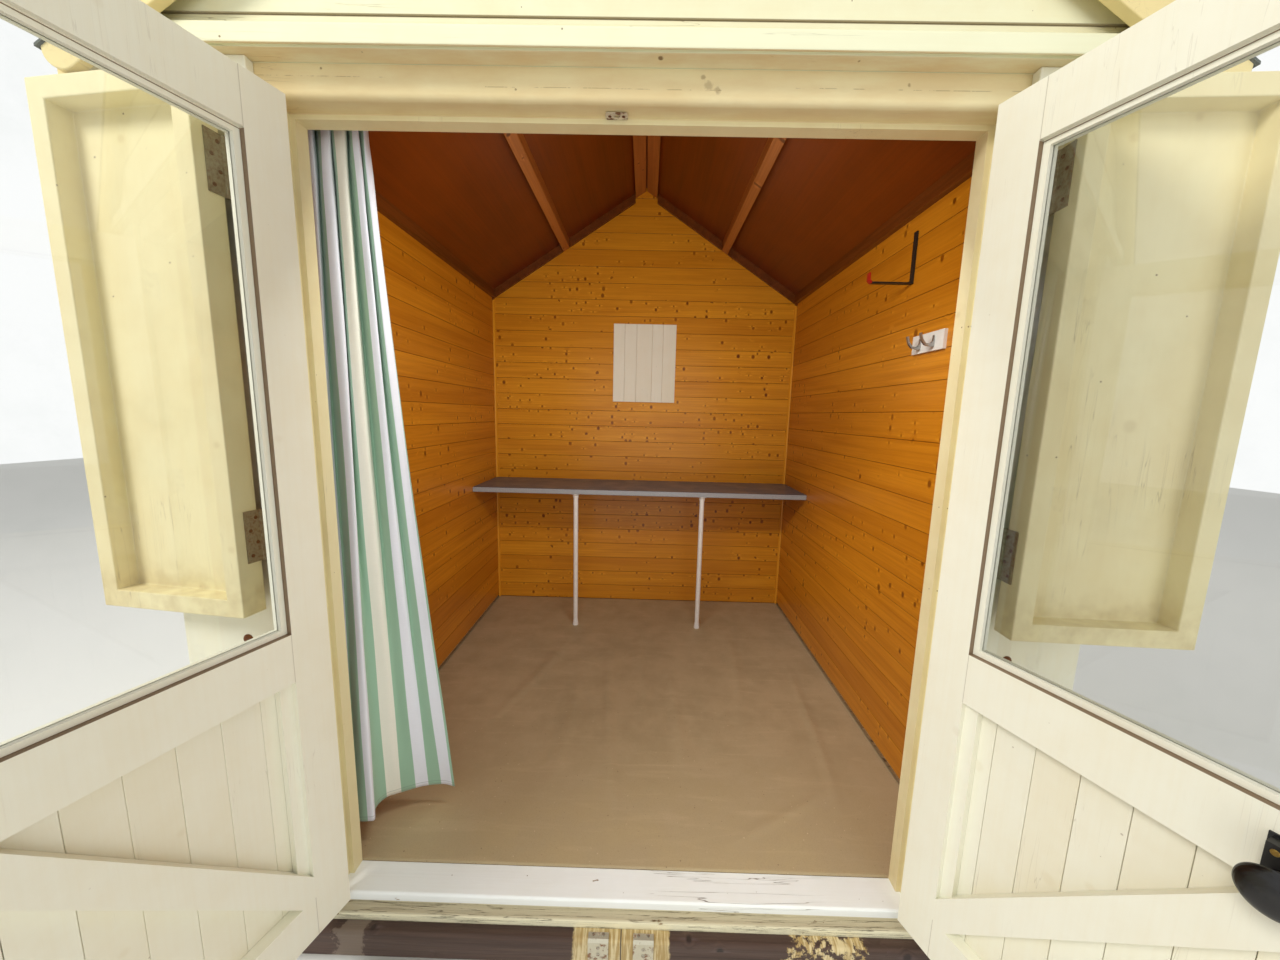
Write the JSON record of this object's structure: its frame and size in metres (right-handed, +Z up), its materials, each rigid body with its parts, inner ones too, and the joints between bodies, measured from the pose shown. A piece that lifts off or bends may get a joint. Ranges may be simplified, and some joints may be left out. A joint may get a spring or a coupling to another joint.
{
  "type": "beach hut",
  "caption": "Cream painted wooden beach hut with open half-glazed double doors, boarded room, worktop, curtain and folded-back storm shutters.",
  "frame": {"origin": "ground level under the middle of the hut", "axes": "+Z up, the doors face -Y, +X to the right of someone looking in"},
  "size_m": [2.278, 2.7521, 2.7427],
  "materials": {
    "white_paint": "satin",
    "varnished_boards": "satin",
    "stained_ceiling": "satin",
    "weathered_timber": "matte",
    "floor_vinyl": "matte",
    "roof_felt": "matte",
    "galvanised_steel": "satin",
    "grey_laminate": "satin",
    "white_enamel": "gloss",
    "striped_cotton": "matte",
    "black_lacquer": "gloss",
    "rusty_steel": "matte",
    "painted_steel": "satin",
    "clear_glass": "gloss"
  },
  "bodies": {
    "hut": {"floor_frame": "weathered_timber", "floor_deck": "weathered_timber", "floor_sheet": "floor_vinyl", "door_sill": "white_paint", "outer_sill": "weathered_timber", "sill_straps": "galvanised_steel", "left_wall": "white_paint", "right_wall": "white_paint", "back_wall": "white_paint", "front_wall_left": "white_paint", "front_wall_right": "white_paint", "front_gable": "white_paint", "side_linings": "varnished_boards", "back_lining": "varnished_boards", "front_lining": "varnished_boards", "front_boards": "white_paint", "rear_corner_boards": "white_paint", "door_frame": "white_paint", "weather_ledge": "white_paint", "left_roof": "stained_ceiling", "right_roof": "stained_ceiling", "roof_felt": "roof_felt", "purlins": "varnished_boards", "ceiling_trim": "stained_ceiling", "roof_edge_boards": "white_paint", "worktop": "grey_laminate", "worktop_legs": "white_enamel", "plaque": "white_paint", "curtain_wire": "white_enamel", "curtain": "striped_cotton", "wall_hooks": "black_lacquer", "left_shutter": "white_paint", "right_shutter": "white_paint", "shutter_hinges": "rusty_steel", "jamb_hinges": "painted_steel"},
    "left_door_leaf": {"left_door": "white_paint", "left_door_boards": "white_paint", "left_door_glass": "clear_glass", "left_door_hinges": "painted_steel"},
    "right_door_leaf": {"right_door": "white_paint", "right_door_boards": "white_paint", "right_door_glass": "clear_glass", "right_door_hinges": "painted_steel", "rim_lock": "black_lacquer"},
    "knob": {"lock_knob": "black_lacquer"}
  },
  "joints": [
    {"name": "left_door", "type": "hinge", "parent": "hut", "child": "left_door_leaf", "pos_m": [-0.722, -0.9865, 1.1], "axis": [0, 0, -1], "range_deg": [-107, 15]},
    {"name": "right_door", "type": "hinge", "parent": "hut", "child": "right_door_leaf", "pos_m": [0.722, -0.9865, 1.1], "axis": [0, 0, 1], "range_deg": [-110, 12]},
    {"name": "door_knob", "type": "hinge", "parent": "right_door_leaf", "child": "knob", "pos_m": [0.88942, -1.44648, 0.848], "axis": [-0.9397, -0.342, 0], "range_deg": [-60, 60]}
  ]
}
